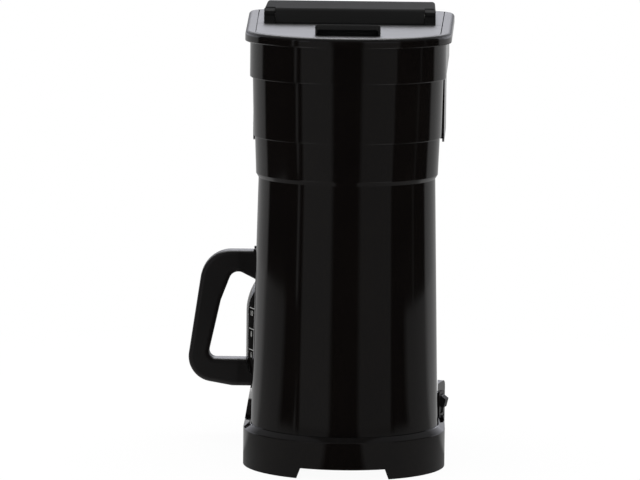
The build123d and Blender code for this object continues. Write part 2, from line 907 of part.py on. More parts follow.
def make_valve_seal():
    return pipe(0, valve_y, seal_top_z - seal_height, seal_top_z, seal_radius, stem_radius)


def make_valve_spring():
    low = bowl_z + bowl_floor + spring_wire
    height = cap_top_z - cap_height - spring_wire - low
    coil = Helix(height / spring_turns, height, spring_radius)
    start = Plane(origin=coil @ 0, z_dir=coil % 0)
    wire = sweep(start * Circle(spring_wire), coil)
    return Pos(0, valve_y, low) * wire


def make_tank():
    top = tank_top_z
    outer = [(0, tank_low_z), (tank_radius, tank_low_z), (tank_radius, top - tank_wall)]
    flange = [(tank_radius + tank_flange, top - tank_wall), (tank_radius + tank_flange, top)]
    inner = [(tank_radius - tank_wall, top), (tank_radius - tank_wall, tank_low_z + tank_wall)]
    tank = turned(outer + flange + inner + [(0, tank_low_z + tank_wall)], 0, tower_y)
    for x, y in tank_bolt_points():
        tank -= rod(x, y, tank_low_z, top, tank_bolt_radius)
    return tank


def tank_bolt_points():
    ring = tank_radius + tank_flange / 2
    angles = [math.radians(30 + 360 / tank_bolt_count * i) for i in range(tank_bolt_count)]
    return [(ring * math.cos(a), tower_y + ring * math.sin(a)) for a in angles]


def heater_leg_points():
    angles = [math.radians(90 + side * heater_gap_angle / 2) for side in (-1, 1)]
    return [(heater_ring_radius * math.cos(a), tower_y + heater_ring_radius * math.sin(a)) for a in angles]


def make_tank_gasket():
    ring = pipe(0, tower_y, tank_top_z, tank_lid_z, tank_radius + tank_flange, tank_radius - tank_wall)
    for x, y in tank_bolt_points():
        ring -= rod(x, y, tank_top_z, tank_lid_z, tank_bolt_radius)
    return ring


def make_tank_lid():
    holes = [(x, y, tank_bolt_radius) for x, y in tank_bolt_points()]
    holes += [(x, y, heater_tube_radius) for x, y in heater_leg_points()]
    holes += [(0, valve_y, fill_tube_radius), (0, outlet_y, outlet_radius), (thermostat_x, tower_y, probe_radius)]
    lid = rod(0, tower_y, tank_lid_z, tank_lid_top_z, tank_radius + tank_flange)
    for x, y, radius in holes:
        lid -= rod(x, y, tank_lid_z, tank_lid_top_z, radius)
    return lid


def make_tank_bolts():
    bolts = []
    for x, y in tank_bolt_points():
        shank = rod(x, y, tank_top_z - tank_wall, tank_lid_top_z, tank_bolt_radius)
        top = rod(x, y, tank_lid_top_z, tank_lid_top_z + tank_bolt_head_height, tank_bolt_head_radius)
        low_z = tank_top_z - tank_wall
        nut = rod(x, y, low_z - tank_bolt_head_height, low_z, tank_bolt_head_radius)
        bolts.append(shank + top + nut)
    return Part() + bolts


def make_tank_stand():
    outer = tank_radius - stand_inset
    ring = pipe(0, tower_y, base_height, tank_low_z, outer, outer - stand_wall)
    window_z = (base_height, base_height + stand_window_height)
    for turn in (0, 90):
        window = block((-2 * outer, 2 * outer), (-stand_window_half, stand_window_half), window_z)
        ring -= Pos(0, tower_y, 0) * Rot(0, 0, turn) * window
    return ring


def make_tank_heater():
    low_z = tank_low_z + heater_low_lift
    gap = heater_gap_angle
    start = Plane(origin=(heater_ring_radius, 0, 0), z_dir=(0, 1, 0))
    ring = revolve(start * Circle(heater_tube_radius), Axis.Z, 360 - gap)
    heater = Pos(0, tower_y, low_z) * Rot(0, 0, 90 + gap / 2) * ring
    for x, y in heater_leg_points():
        heater += rod(x, y, low_z, tank_lid_top_z + heater_terminal, heater_tube_radius)
        heater += Pos(x, y, low_z) * Sphere(heater_tube_radius)
    return heater


def make_tank_thermostat():
    width, depth, height = thermostat_size
    x = (thermostat_x - width / 2, thermostat_x + width / 2)
    y = (tower_y - depth / 2, tower_y + depth / 2)
    body = block(x, y, (tank_lid_top_z, tank_lid_top_z + height))
    return body + rod(thermostat_x, tower_y, tank_lid_top_z - probe_length, tank_lid_top_z, probe_radius)


def make_limit_thermostat():
    return rod(-thermostat_x, tower_y, tank_lid_top_z, tank_lid_top_z + limiter_height, limiter_radius)


def make_fill_tube():
    low = tank_low_z + fill_tube_low_lift
    cup_z = tank_lid_top_z + cup_lift
    tube = rod(0, valve_y, low, cup_z, fill_tube_radius)
    cup = rod(0, valve_y, cup_z, cup_z + cup_height, cup_radius)
    cup -= rod(0, valve_y, cup_z + cup_wall, cup_z + cup_height, cup_radius - cup_wall)
    return tube + cup - rod(0, valve_y, low, cup_z + cup_wall, fill_tube_bore)


def make_outlet_tube():
    run_z = floor_top_z + outlet_run_lift
    end_z = floor_top_z + spray_collar_height
    corners = [(0, outlet_y, tank_lid_z), (0, outlet_y, run_z), (0, station_y, run_z), (0, station_y, end_z)]
    path = FilletPolyline(*corners, radius=outlet_bend)
    start = Plane(origin=path @ 0, z_dir=path % 0)
    return sweep(start * Circle(outlet_radius), path) - sweep(start * Circle(outlet_bore), path)


def make_spray_tube():
    tube = rod(0, station_y, floor_top_z - spray_tube_drop, floor_top_z, spray_tube_radius)
    top = floor_top_z + spray_collar_height
    tube += rod(0, station_y, floor_top_z, top, spray_collar_radius)
    return tube - rod(0, station_y, floor_top_z - spray_tube_drop, top, outlet_bore)


def make_spray_head():
    low = floor_top_z - spray_tube_drop - spray_head_height
    top = low + spray_head_height
    head = rod(0, station_y, low, top, spray_head_radius)
    head += pipe(0, station_y, top, top + spray_nut_height, spray_nut_radius, spray_tube_radius)
    for count, radius in spray_rings:
        for spot in PolarLocations(radius, count):
            hole = rod(0, 0, low, top, spray_hole_radius)
            head -= Pos(0, station_y, 0) * spot * hole
    return head


# Funnel
def make_brew_funnel():
    top = flange_z + flange_height + funnel_rim_lift
    spout_low = spout_low_z
    spout_top = spout_low + funnel_spout_length
    floor_z = spout_top + funnel_floor_drop
    wall = funnel_wall
    outer = [
        (funnel_mouth, top),
        (funnel_shoulder, flange_z),
        (funnel_floor_radius, floor_z),
        (funnel_spout_radius, spout_top),
        (funnel_spout_radius, spout_low),
    ]
    inner = [
        (funnel_spout_radius - wall, spout_low),
        (funnel_spout_radius - wall, spout_top + wall),
        (funnel_floor_radius - wall, floor_z + wall),
        (funnel_shoulder - wall, flange_z),
        (funnel_mouth - wall, top),
    ]
    funnel = turned(outer + inner, 0, station_y)
    half = flange_half
    plan = Circle(half) & Pos(0, half) * Rectangle(2 * half, 2 * half)
    plan += Pos(0, -flange_front_reach / 2) * Rectangle(2 * half, flange_front_reach)
    plan -= Circle(funnel_shoulder)
    funnel += prism(Pos(0, station_y) * plan, flange_z, flange_z + flange_height)
    rib = section([
        (funnel_floor_radius - wall, floor_z + wall),
        (funnel_shoulder - wall, flange_z),
        (funnel_shoulder - wall - funnel_rib_depth, flange_z),
        (funnel_floor_radius - wall - funnel_rib_depth, floor_z + wall),
    ])
    rib = extrude(rib, funnel_rib_thickness / 2, both=True)
    for spot in PolarLocations(0, funnel_rib_count):
        funnel += Pos(0, station_y, 0) * spot * rib
    return funnel


def make_funnel_handle():
    rear = station_y - flange_front_reach
    low = flange_z - grip_plate_low
    top = low + grip_plate_height
    plan = Pos(0, rear - grip_plate_length / 2) * Rectangle(2 * grip_plate_half, grip_plate_length)
    plan = fillet(plan.vertices().group_by(Axis.Y)[0], grip_plate_corner)
    grip = prism(plan, low, top)
    grip = fillet(grip.edges().group_by(Axis.Z)[-1].sort_by(Axis.Y)[:-1], grip_plate_wall)
    return grip - prism(offset(plan, -grip_plate_wall), low, top - grip_plate_wall)


# Carafe
def glass_profile(inset):
    """Half section of the jug from its middle to the lip, moved in by a wall."""
    foot_z = carafe_z + inset
    low_z = carafe_z + carafe_belly_low
    high_z = carafe_z + carafe_belly_high
    radius = carafe_radius - inset
    neck = carafe_neck_radius - inset
    inward = carafe_radius - carafe_neck_radius
    upward = carafe_neck_start - carafe_belly_high
    shoulder = (inward**2 + upward**2) / (2 * inward) - inset
    centre_x = radius - shoulder
    neck_z = high_z + math.sqrt(shoulder**2 - (neck - centre_x)**2)
    lip_z = carafe_lip_z
    turn = math.radians(45)
    bulge = (carafe_foot_bulge[0] - inset * math.sin(turn), carafe_z + carafe_foot_bulge[1] + inset * math.cos(turn))
    lean = math.atan2(neck_z - high_z, neck - centre_x) / 2
    middle = (centre_x + shoulder * math.cos(lean), high_z + shoulder * math.sin(lean))
    curve = [
        Line((0, foot_z), (carafe_foot_radius, foot_z)),
        ThreePointArc((carafe_foot_radius, foot_z), bulge, (radius, low_z)),
        Line((radius, low_z), (radius, high_z)),
        ThreePointArc((radius, high_z), middle, (neck, neck_z)),
        Line((neck, neck_z), (neck, lip_z)),
        Line((neck, lip_z), (0, lip_z)),
        Line((0, lip_z), (0, foot_z)),
    ]
    return Plane.XZ * make_face(curve)


def glass_block(inset):
    return Pos(carafe_x, station_y, 0) * revolve(glass_profile(inset), Axis.Z)


def make_carafe_glass():
    return glass_block(0) - glass_block(glass_wall)


def collar_top_z():
    return carafe_lip_z - slide_gap


def spout_plan(inset):
    """Plan of the collar with its pouring beak, opposite the handle, moved in by a wall."""
    tip = Pos(-collar_radius - spout_reach + spout_tip_radius, 0) * Circle(spout_tip_radius - inset)
    return make_hull(Circle(collar_radius - inset).edges() + tip.edges())


def make_carafe_collar():
    top = collar_top_z()
    low = top - collar_height
    inner = carafe_neck_radius + press_gap
    beak = Pos(0, 0, top) * extrude(spout_plan(0), -collar_height, taper=spout_lean)
    channel = prism(spout_plan(spout_wall), top - spout_depth, top)
    channel &= block((-2 * collar_radius, -inner / 2), (-spout_half, spout_half), (low, top))
    collar = prism(Circle(collar_radius), low, top) + beak - channel - rod(0, 0, low, top, inner)
    collar = Pos(carafe_x, station_y, 0) * collar
    mid = (low + top) / 2
    lug = block(
        (carafe_x + inner, carafe_x + collar_radius + ear_length),
        (station_y + ear_half_gap, station_y + ear_half_gap + ear_thickness),
        (mid - ear_height / 2, mid + ear_height / 2),
    )
    lug -= rod(carafe_x, station_y, low, top, collar_radius - collar_wall / 2)
    lugs = lug + mirror(lug, Plane.XZ.offset(-station_y))
    bolt = Pos(bolt_x, station_y, mid) * Rot(90, 0, 0) * Cylinder(bolt_radius, 4 * ear_half_gap)
    return collar + lugs - bolt


def make_carafe_handle():
    root = carafe_neck_radius - carafe_radius
    outline = [
        (root, handle_top_lift),
        (handle_top_reach, handle_top_lift),
        (handle_low_reach, handle_low_lift),
        (handle_foot_reach, handle_foot_lift),
        (root, handle_foot_lift),
        (root, handle_inner_low[1]),
        handle_inner_low,
        handle_inner_mid,
        handle_inner_top,
        (root, handle_root_lift),
    ]
    face = make_face(Polyline(*outline, close=True))
    rounds = [
        (handle_top_reach, handle_top_lift, handle_outer_top_round),
        (handle_low_reach, handle_low_lift, handle_outer_low_round),
        (*handle_inner_low, handle_inner_low_round),
        (*handle_inner_top, handle_inner_top_round),
    ]
    for reach, lift, radius in rounds:
        face = fillet(face.vertices().sort_by_distance((reach, lift, 0))[0], radius)
    handle = extrude(Plane.XZ * face, handle_half, both=True)
    long_edges = handle.edges().group_by(Axis.Y)
    handle = fillet(long_edges[0] + long_edges[-1], handle_round)
    handle = Pos(carafe_x + carafe_radius, station_y, carafe_z) * handle
    handle -= glass_block(-slide_gap)
    handle -= rod(carafe_x, station_y, 0, 2 * carafe_lip_z, collar_radius + press_gap)
    mid = collar_top_z() - collar_height / 2
    return handle - Pos(bolt_x, station_y, mid) * Rot(90, 0, 0) * Cylinder(bolt_radius, 4 * handle_half)


def make_handle_bolt():
    mid = collar_top_z() - collar_height / 2
    reach = ear_half_gap + ear_thickness
    shank = Cylinder(bolt_radius, 2 * reach)
    head = Pos(0, 0, reach + bolt_head_height / 2) * Cylinder(bolt_head_radius, bolt_head_height)
    nut = Pos(0, 0, -reach - bolt_head_height / 2) * Cylinder(bolt_head_radius, bolt_head_height)
    return Pos(bolt_x, station_y, mid) * Rot(90, 0, 0) * (shank + head + nut)


def make_carafe_lid():
    lip_z = carafe_lip_z
    top = lip_z + carafe_lid_height
    plug = carafe_neck_radius - glass_wall - slide_gap
    wall = carafe_lid_wall
    profile = [
        (carafe_lid_hole, top - carafe_lid_dip),
        (plug - wall, top),
        (carafe_lid_radius, top),
        (carafe_lid_radius, lip_z),
        (plug, lip_z),
        (plug, lip_z - carafe_lid_plug),
        (plug - wall, lip_z - carafe_lid_plug),
        (plug - wall, top - wall),
        (carafe_lid_hole, top - carafe_lid_dip - wall),
    ]
    mouth = block(
        (-2 * carafe_lid_radius, lid_mouth_depth - plug),
        (-spout_half, spout_half),
        (lip_z - carafe_lid_plug, top),
    )
    return turned(profile, carafe_x, station_y) - Pos(carafe_x, station_y, 0) * mouth


nodes = {
    "base_housing": make_base_housing(),
    "bottom_plate": make_bottom_plate(),
    "feet": make_feet(),
    "plate_screws": make_plate_screws(),
    "cord_gland": make_cord_gland(),
    "terminal_block": make_terminal_block(),
    "warmer_gasket": make_warmer_gasket(),
    "warmer_plate": make_warmer_plate(),
    "warmer_element": make_warmer_element(),
    "warmer_bracket": make_warmer_bracket(),
    "tower_shell": make_tower_shell(),
    "front_column": make_front_column(),
    "head_housing": make_head_housing(),
    "top_cover": make_top_cover(),
    "hinge_pins": make_hinge_pins(),
    "lid": make_lid(),
    "funnel_rails": make_funnel_rails(),
    "fill_bowl": make_fill_bowl(),
    "valve_plunger": make_valve_plunger(),
    "valve_seal": make_valve_seal(),
    "valve_spring": make_valve_spring(),
    "tank": make_tank(),
    "tank_gasket": make_tank_gasket(),
    "tank_lid": make_tank_lid(),
    "tank_bolts": make_tank_bolts(),
    "tank_stand": make_tank_stand(),
    "tank_heater": make_tank_heater(),
    "tank_thermostat": make_tank_thermostat(),
    "limit_thermostat": make_limit_thermostat(),
    "fill_tube": make_fill_tube(),
    "outlet_tube": make_outlet_tube(),
    "spray_tube": make_spray_tube(),
    "spray_head": make_spray_head(),
    "brew_funnel": make_brew_funnel(),
    "funnel_handle": make_funnel_handle(),
    "side_switch_frame": switch_frame(side_switch_plane()),
    "side_switch_rocker": switch_rocker(side_switch_plane(), -rocker_tilt),
    "front_switch_frame": switch_frame(front_switch_plane()),
    "front_switch_rocker": switch_rocker(front_switch_plane(), rocker_tilt),
    "carafe_glass": make_carafe_glass(),
    "carafe_collar": make_carafe_collar(),
    "carafe_handle": make_carafe_handle(),
    "carafe_lid": make_carafe_lid(),
    "handle_bolt": make_handle_bolt(),
}

os.makedirs("parts", exist_ok=True)
for node, shape in nodes.items():
    export_step(shape, f"parts/{node}.step")
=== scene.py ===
import json
import math

import bpy
from mathutils import Matrix, Vector


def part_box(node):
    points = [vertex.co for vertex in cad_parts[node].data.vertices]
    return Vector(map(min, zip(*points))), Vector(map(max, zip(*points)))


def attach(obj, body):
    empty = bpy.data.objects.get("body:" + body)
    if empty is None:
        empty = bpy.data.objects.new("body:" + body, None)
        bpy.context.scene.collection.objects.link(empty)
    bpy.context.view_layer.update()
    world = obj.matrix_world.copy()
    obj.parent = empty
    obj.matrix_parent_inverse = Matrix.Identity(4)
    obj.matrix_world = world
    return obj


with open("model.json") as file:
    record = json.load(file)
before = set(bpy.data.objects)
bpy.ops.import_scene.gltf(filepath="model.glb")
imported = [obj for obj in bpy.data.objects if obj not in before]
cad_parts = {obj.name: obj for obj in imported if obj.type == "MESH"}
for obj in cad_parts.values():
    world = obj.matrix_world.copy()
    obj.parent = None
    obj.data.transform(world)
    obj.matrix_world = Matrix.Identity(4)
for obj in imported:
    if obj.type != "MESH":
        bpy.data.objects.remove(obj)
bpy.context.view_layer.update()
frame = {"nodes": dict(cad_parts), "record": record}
nodes = frame["nodes"]

# A millimetre in metres, and the picture's width in pixels
mm = 0.001
image_width = 640

# Where the tower, the glass, the flat top and the hinge ears lie
tower_y = sum(corner.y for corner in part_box("tank")) / 2
glass_low, glass_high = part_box("carafe_glass")
glass_middle = (glass_low + glass_high) / 2
glass_radius = (glass_high.x - glass_low.x) / 2
top_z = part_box("head_housing")[1].z
ear_start = 62.9 * mm
ear_top = top_z + 12 * mm
ear_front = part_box("hinge_pins")[0].y - 6 * mm


# Small helpers for nodes and colours
def colour(hex_value):
    """Turn an sRGB hex value into linear red, green, blue and alpha."""
    parts = [int(hex_value[i:i + 2], 16) / 255 for i in (1, 3, 5)]
    linear = [part / 12.92 if part <= 0.04045 else ((part + 0.055) / 1.055) ** 2.4 for part in parts]
    return (*linear, 1.0)


def add(tree, kind, inputs=None, **settings):
    """Add a node, give it its settings, and set or link its inputs."""
    made = tree.nodes.new(kind)
    for name, value in settings.items():
        setattr(made, name, value)
    for name, value in (inputs or {}).items():
        if isinstance(value, bpy.types.NodeSocket):
            tree.links.new(value, made.inputs[name])
        else:
            made.inputs[name].default_value = value
    return made


def start_material(name):
    """A new material: its node tree, its shader and the place on the piece, in metres."""
    material = bpy.data.materials.new(name)
    material.use_nodes = True
    tree = material.node_tree
    place = add(tree, "ShaderNodeTexCoord").outputs["Object"]
    return material, tree, tree.nodes["Principled BSDF"], place


def per_size(size_mm):
    """Texture scale at which one feature of a noise is about this many millimetres wide."""
    return 1 / (size_mm * mm)


# Materials
def gloss_black_abs():
    """Injection-moulded ABS from a polished mould: deep black and mirror-like, with a faint waviness.
    The flat top of the head is grained instead, so it spreads the light into an even grey."""
    material, tree, shader, place = start_material("gloss_black_abs")
    smudge = add(tree, "ShaderNodeTexNoise", {"Vector": place, "Scale": per_size(35), "Detail": 4.0})
    wave = add(tree, "ShaderNodeTexNoise", {"Vector": place, "Scale": per_size(14), "Detail": 2.0})
    grain = add(tree, "ShaderNodeTexNoise", {"Vector": place, "Scale": per_size(0.5), "Detail": 2.0})
    normal = add(tree, "ShaderNodeNewGeometry").outputs["Normal"]
    facing = add(tree, "ShaderNodeSeparateXYZ", {"Vector": normal})
    spot = add(tree, "ShaderNodeSeparateXYZ", {"Vector": place})
    flat = add(tree, "ShaderNodeMapRange", {"Value": facing.outputs["Z"], "From Min": 0.3, "From Max": 0.6})
    high = add(tree, "ShaderNodeMath", {0: spot.outputs["Z"], 1: top_z - 6 * mm}, operation="GREATER_THAN")
    top = add(tree, "ShaderNodeMath", {0: flat.outputs["Result"], 1: high.outputs[0]}, operation="MULTIPLY")
    polish = add(tree, "ShaderNodeMapRange", {"Value": smudge.outputs["Fac"], "To Min": 0.04, "To Max": 0.09})
    rough = add(tree, "ShaderNodeMix", {0: top.outputs[0], 2: polish.outputs["Result"], 3: 0.42})
    tone = add(tree, "ShaderNodeMix", {
        "Factor": smudge.outputs["Fac"], 6: colour("#040303"), 7: colour("#080605"),
    }, data_type="RGBA")
    ripple = add(tree, "ShaderNodeBump", {
        "Height": wave.outputs["Fac"], "Strength": 0.05, "Distance": 0.2 * mm,
    })
    bump = add(tree, "ShaderNodeBump", {
        "Height": grain.outputs["Fac"], "Strength": top.outputs[0], "Distance": 0.02 * mm,
        "Normal": ripple.outputs["Normal"],
    })
    shader.inputs["IOR"].default_value = 1.53
    tree.links.new(tone.outputs[2], shader.inputs["Base Color"])
    tree.links.new(rough.outputs[0], shader.inputs["Roughness"])
    tree.links.new(bump.outputs["Normal"], shader.inputs["Normal"])
    return material


def grained_black_abs():
    """ABS from a grained mould: the lid's flat is an even satin, and the raised hood and grip are coarser
    and duller. The hinge ears at the hood's ends are left polished, so they look darker."""
    material, tree, shader, place = start_material("grained_black_abs")
    grain = add(tree, "ShaderNodeTexNoise", {"Vector": place, "Scale": per_size(0.5), "Detail": 2.0})
    patch = add(tree, "ShaderNodeTexNoise", {"Vector": place, "Scale": per_size(28), "Detail": 3.0})
    spot = add(tree, "ShaderNodeSeparateXYZ", {"Vector": place})
    raised = add(tree, "ShaderNodeMapRange", {
        "Value": spot.outputs["Z"], "From Min": top_z + 0.3 * mm, "From Max": top_z + 1.5 * mm,
    })
    aside = add(tree, "ShaderNodeMath", {0: spot.outputs["X"]}, operation="ABSOLUTE")
    at_end = add(tree, "ShaderNodeMath", {0: aside.outputs[0], 1: ear_start}, operation="GREATER_THAN")
    at_pin = add(tree, "ShaderNodeMath", {0: spot.outputs["Y"], 1: ear_front}, operation="GREATER_THAN")
    ear = add(tree, "ShaderNodeMath", {0: at_end.outputs[0], 1: at_pin.outputs[0]}, operation="MULTIPLY")
    below = add(tree, "ShaderNodeMapRange", {
        "Value": spot.outputs["Z"], "From Min": ear_top, "From Max": ear_top - 2.5 * mm,
    })
    face = add(tree, "ShaderNodeMath", {0: ear.outputs[0], 1: below.outputs[0]}, operation="MULTIPLY")
    polished = add(tree, "ShaderNodeMath", {
        0: face.outputs[0], 1: raised.outputs["Result"],
    }, operation="MULTIPLY")
    satin = add(tree, "ShaderNodeMapRange", {"Value": patch.outputs["Fac"], "To Min": 0.37, "To Max": 0.43})
    coarse = add(tree, "ShaderNodeMix", {0: raised.outputs["Result"], 2: satin.outputs["Result"], 3: 1.0})
    rough = add(tree, "ShaderNodeMix", {0: polished.outputs[0], 2: coarse.outputs[0], 3: 0.12})
    dull = add(tree, "ShaderNodeMath", {
        0: raised.outputs["Result"], 1: polished.outputs[0],
    }, operation="SUBTRACT")
    tone = add(tree, "ShaderNodeMix", {
        "Factor": dull.outputs[0], 6: colour("#080808"), 7: colour("#1a1a1a"),
    }, data_type="RGBA")
    bump = add(tree, "ShaderNodeBump", {
        "Height": grain.outputs["Fac"], "Strength": 0.6, "Distance": 0.03 * mm,
    })
    shader.inputs["IOR"].default_value = 1.53
    tree.links.new(tone.outputs[2], shader.inputs["Base Color"])
    tree.links.new(rough.outputs[0], shader.inputs["Roughness"])
    tree.links.new(bump.outputs["Normal"], shader.inputs["Normal"])
    return material


def satin_black_plastic():
    """Moulded polypropylene from a spark-eroded mould: a fine even grain that dulls the shine."""
    material, tree, shader, place = start_material("satin_black_plastic")
    grain = add(tree, "ShaderNodeTexNoise", {"Vector": place, "Scale": per_size(0.6), "Detail": 3.0})
    patch = add(tree, "ShaderNodeTexNoise", {"Vector": place, "Scale": per_size(22), "Detail": 3.0})
    rough = add(tree, "ShaderNodeMapRange", {"Value": patch.outputs["Fac"], "To Min": 0.34, "To Max": 0.46})
    tone = add(tree, "ShaderNodeMix", {
        "Factor": patch.outputs["Fac"], 6: colour("#0e0b0b"), 7: colour("#100c0c"),
    }, data_type="RGBA")
    bump = add(tree, "ShaderNodeBump", {
        "Height": grain.outputs["Fac"], "Strength": 0.25, "Distance": 0.05 * mm,
    })
    shader.inputs["IOR"].default_value = 1.49
    tree.links.new(tone.outputs[2], shader.inputs["Base Color"])
    tree.links.new(rough.outputs["Result"], shader.inputs["Roughness"])
    tree.links.new(bump.outputs["Normal"], shader.inputs["Normal"])
    return material


def black_rocker_nylon():
    """Moulded nylon of a switch rocker: half gloss, with the shine worn off in patches."""
    material, tree, shader, place = start_material("black_rocker_nylon")
    wear = add(tree, "ShaderNodeTexNoise", {"Vector": place, "Scale": per_size(4), "Detail": 4.0})
    rough = add(tree, "ShaderNodeMapRange", {"Value": wear.outputs["Fac"], "To Min": 0.42, "To Max": 0.56})
    shader.inputs["Base Color"].default_value = colour("#0a0a0b")
    tree.links.new(rough.outputs["Result"], shader.inputs["Roughness"])
    return material


def borosilicate_glass():
    """Blown borosilicate glass: clear, with soft waves left by the mould."""
    material, tree, shader, place = start_material("borosilicate_glass")
    wave = add(tree, "ShaderNodeTexNoise", {"Vector": place, "Scale": per_size(30), "Detail": 1.0})
    bump = add(tree, "ShaderNodeBump", {
        "Height": wave.outputs["Fac"], "Strength": 0.04, "Distance": 0.3 * mm,
    })
    shader.inputs["Base Color"].default_value = colour("#f2f7f5")
    shader.inputs["Transmission Weight"].default_value = 1.0
    shader.inputs["Roughness"].default_value = 0.0
    shader.inputs["IOR"].default_value = 1.47
    tree.links.new(bump.outputs["Normal"], shader.inputs["Normal"])
    return material


def stainless_steel():
    """Cold-rolled stainless sheet, brushed: fine streaks that stretch the highlights."""
    material, tree, shader, place = start_material("stainless_steel")
    stretch = add(tree, "ShaderNodeMapping", {"Vector": place, "Scale": (1.0, 1.0, 0.04)})
    streak = add(tree, "ShaderNodeTexNoise", {"Vector": stretch.outputs["Vector"], "Scale": per_size(0.7)})
    rough = add(tree, "ShaderNodeMapRange", {"Value": streak.outputs["Fac"], "To Min": 0.22, "To Max": 0.38})
    shader.inputs["Base Color"].default_value = colour("#c4c2be")
    shader.inputs["Metallic"].default_value = 1.0
    tree.links.new(rough.outputs["Result"], shader.inputs["Roughness"])
    return material


def enamelled_steel():
    """Pressed steel with a baked non-stick coat: black, half matt, with a fine pebbled skin."""
    material, tree, shader, place = start_material("enamelled_steel")
    pebble = add(tree, "ShaderNodeTexNoise", {"Vector": place, "Scale": per_size(0.8), "Detail": 2.0})
    tone = add(tree, "ShaderNodeMix", {
        "Factor": pebble.outputs["Fac"], 6: colour("#0c0c0c"), 7: colour("#1a1a1b"),
    }, data_type="RGBA")
    bump = add(tree, "ShaderNodeBump", {
        "Height": pebble.outputs["Fac"], "Strength": 0.3, "Distance": 0.05 * mm,
    })
    shader.inputs["Roughness"].default_value = 0.36
    tree.links.new(tone.outputs[2], shader.inputs["Base Color"])
    tree.links.new(bump.outputs["Normal"], shader.inputs["Normal"])
    return material


def cast_aluminium():
    """Die-cast aluminium, left as cast: dull grey with a mottled grain."""
    material, tree, shader, place = start_material("cast_aluminium")
    mottle = add(tree, "ShaderNodeTexNoise", {"Vector": place, "Scale": per_size(2.5), "Detail": 5.0})
    rough = add(tree, "ShaderNodeMapRange", {"Value": mottle.outputs["Fac"], "To Min": 0.4, "To Max": 0.6})
    shader.inputs["Base Color"].default_value = colour("#b9babb")
    shader.inputs["Metallic"].default_value = 1.0
    tree.links.new(rough.outputs["Result"], shader.inputs["Roughness"])
    return material


def silicone_rubber():
    """Moulded silicone: milky grey and dull, a little cloudy."""
    material, tree, shader, place = start_material("silicone_rubber")
    cloud = add(tree, "ShaderNodeTexNoise", {"Vector": place, "Scale": per_size(9), "Detail": 3.0})
    tone = add(tree, "ShaderNodeMix", {
        "Factor": cloud.outputs["Fac"], 6: colour("#b9b5ac"), 7: colour("#cfcbc3"),
    }, data_type="RGBA")
    shader.inputs["Roughness"].default_value = 0.55
    shader.inputs["IOR"].default_value = 1.41
    tree.links.new(tone.outputs[2], shader.inputs["Base Color"])
    return material


def natural_polypropylene():
    """Uncoloured polypropylene moulding: milky white with a waxy half-matt skin."""
    material, tree, shader, place = start_material("natural_polypropylene")
    cloud = add(tree, "ShaderNodeTexNoise", {"Vector": place, "Scale": per_size(12), "Detail": 3.0})
    tone = add(tree, "ShaderNodeMix", {
        "Factor": cloud.outputs["Fac"], 6: colour("#d9d8d2"), 7: colour("#e6e5df"),
    }, data_type="RGBA")
    shader.inputs["Roughness"].default_value = 0.42
    shader.inputs["IOR"].default_value = 1.49
    tree.links.new(tone.outputs[2], shader.inputs["Base Color"])
    return material


def phenolic_resin():
    """Compression-moulded phenolic: dark brown, dense, with a dull mould skin."""
    material, tree, shader, place = start_material("phenolic_resin")
    fleck = add(tree, "ShaderNodeTexNoise", {"Vector": place, "Scale": per_size(1.5), "Detail": 4.0})
    tone = add(tree, "ShaderNodeMix", {
        "Factor": fleck.outputs["Fac"], 6: colour("#2c2019"), 7: colour("#3d2e24"),
    }, data_type="RGBA")
    shader.inputs["Roughness"].default_value = 0.4
    tree.links.new(tone.outputs[2], shader.inputs["Base Color"])
    return material


def black_rubber():
    """Moulded rubber: matt black with a dusty bloom."""
    material, tree, shader, place = start_material("black_rubber")
    bloom = add(tree, "ShaderNodeTexNoise", {"Vector": place, "Scale": per_size(3), "Detail": 4.0})
    tone = add(tree, "ShaderNodeMix", {
        "Factor": bloom.outputs["Fac"], 6: colour("#101010"), 7: colour("#1c1c1c"),
    }, data_type="RGBA")
    shader.inputs["Roughness"].default_value = 0.75
    tree.links.new(tone.outputs[2], shader.inputs["Base Color"])
    return material


def white_ink():
    """Ceramic ink fired on the glass: chalky and thin, so its white looks a little grey and uneven."""
    material, tree, shader, place = start_material("white_ink")
    speck = add(tree, "ShaderNodeTexNoise", {"Vector": place, "Scale": per_size(0.8), "Detail": 3.0})
    tone = add(tree, "ShaderNodeMix", {
        "Factor": speck.outputs["Fac"], 6: colour("#a4a4a2"), 7: colour("#bcbcba"),
    }, data_type="RGBA")
    shader.inputs["Roughness"].default_value = 0.6
    tree.links.new(tone.outputs[2], shader.inputs["Base Color"])
    return material


def brewed_coffee():
    """Black coffee: opaque and almost black, browner in swirls. Against glass it has hardly any shine."""
    material, tree, shader, place = start_material("brewed_coffee")
    swirl = add(tree, "ShaderNodeTexNoise", {
        "Vector": place, "Scale": per_size(25), "Detail": 3.0, "Distortion": 1.0,
    })
    tone = add(tree, "ShaderNodeMix", {
        "Factor": swirl.outputs["Fac"], 6: colour("#060302"), 7: colour("#140a05"),
    }, data_type="RGBA")
    shader.inputs["Roughness"].default_value = 0.03
    shader.inputs["IOR"].default_value = 1.34
    shader.inputs["Specular IOR Level"].default_value = 0.05
    tree.links.new(tone.outputs[2], shader.inputs["Base Color"])
    return material


materials = {make.__name__: make() for make in (
    gloss_black_abs, grained_black_abs, satin_black_plastic, black_rocker_nylon, borosilicate_glass,
    stainless_steel, enamelled_steel, cast_aluminium, silicone_rubber, natural_polypropylene, phenolic_resin,
    black_rubber, white_ink, brewed_coffee,
)}
for part in frame["record"]["subparts"]:
    nodes[part["node"]].material_slots[0].material = materials[part["material_slot"]]


# Camera: straight behind the machine, a little above it, with a long lens. Lengths are in metres and
# angles in radians, and the focal length is in pixels of the picture.
camera_distance = 3.7368
camera_height = 0.6432
camera_yaw = 0.0120
camera_aim = 0.0058
camera_pitch = 0.1215
camera_roll = 0.0108
focal_pixels = 4550.9


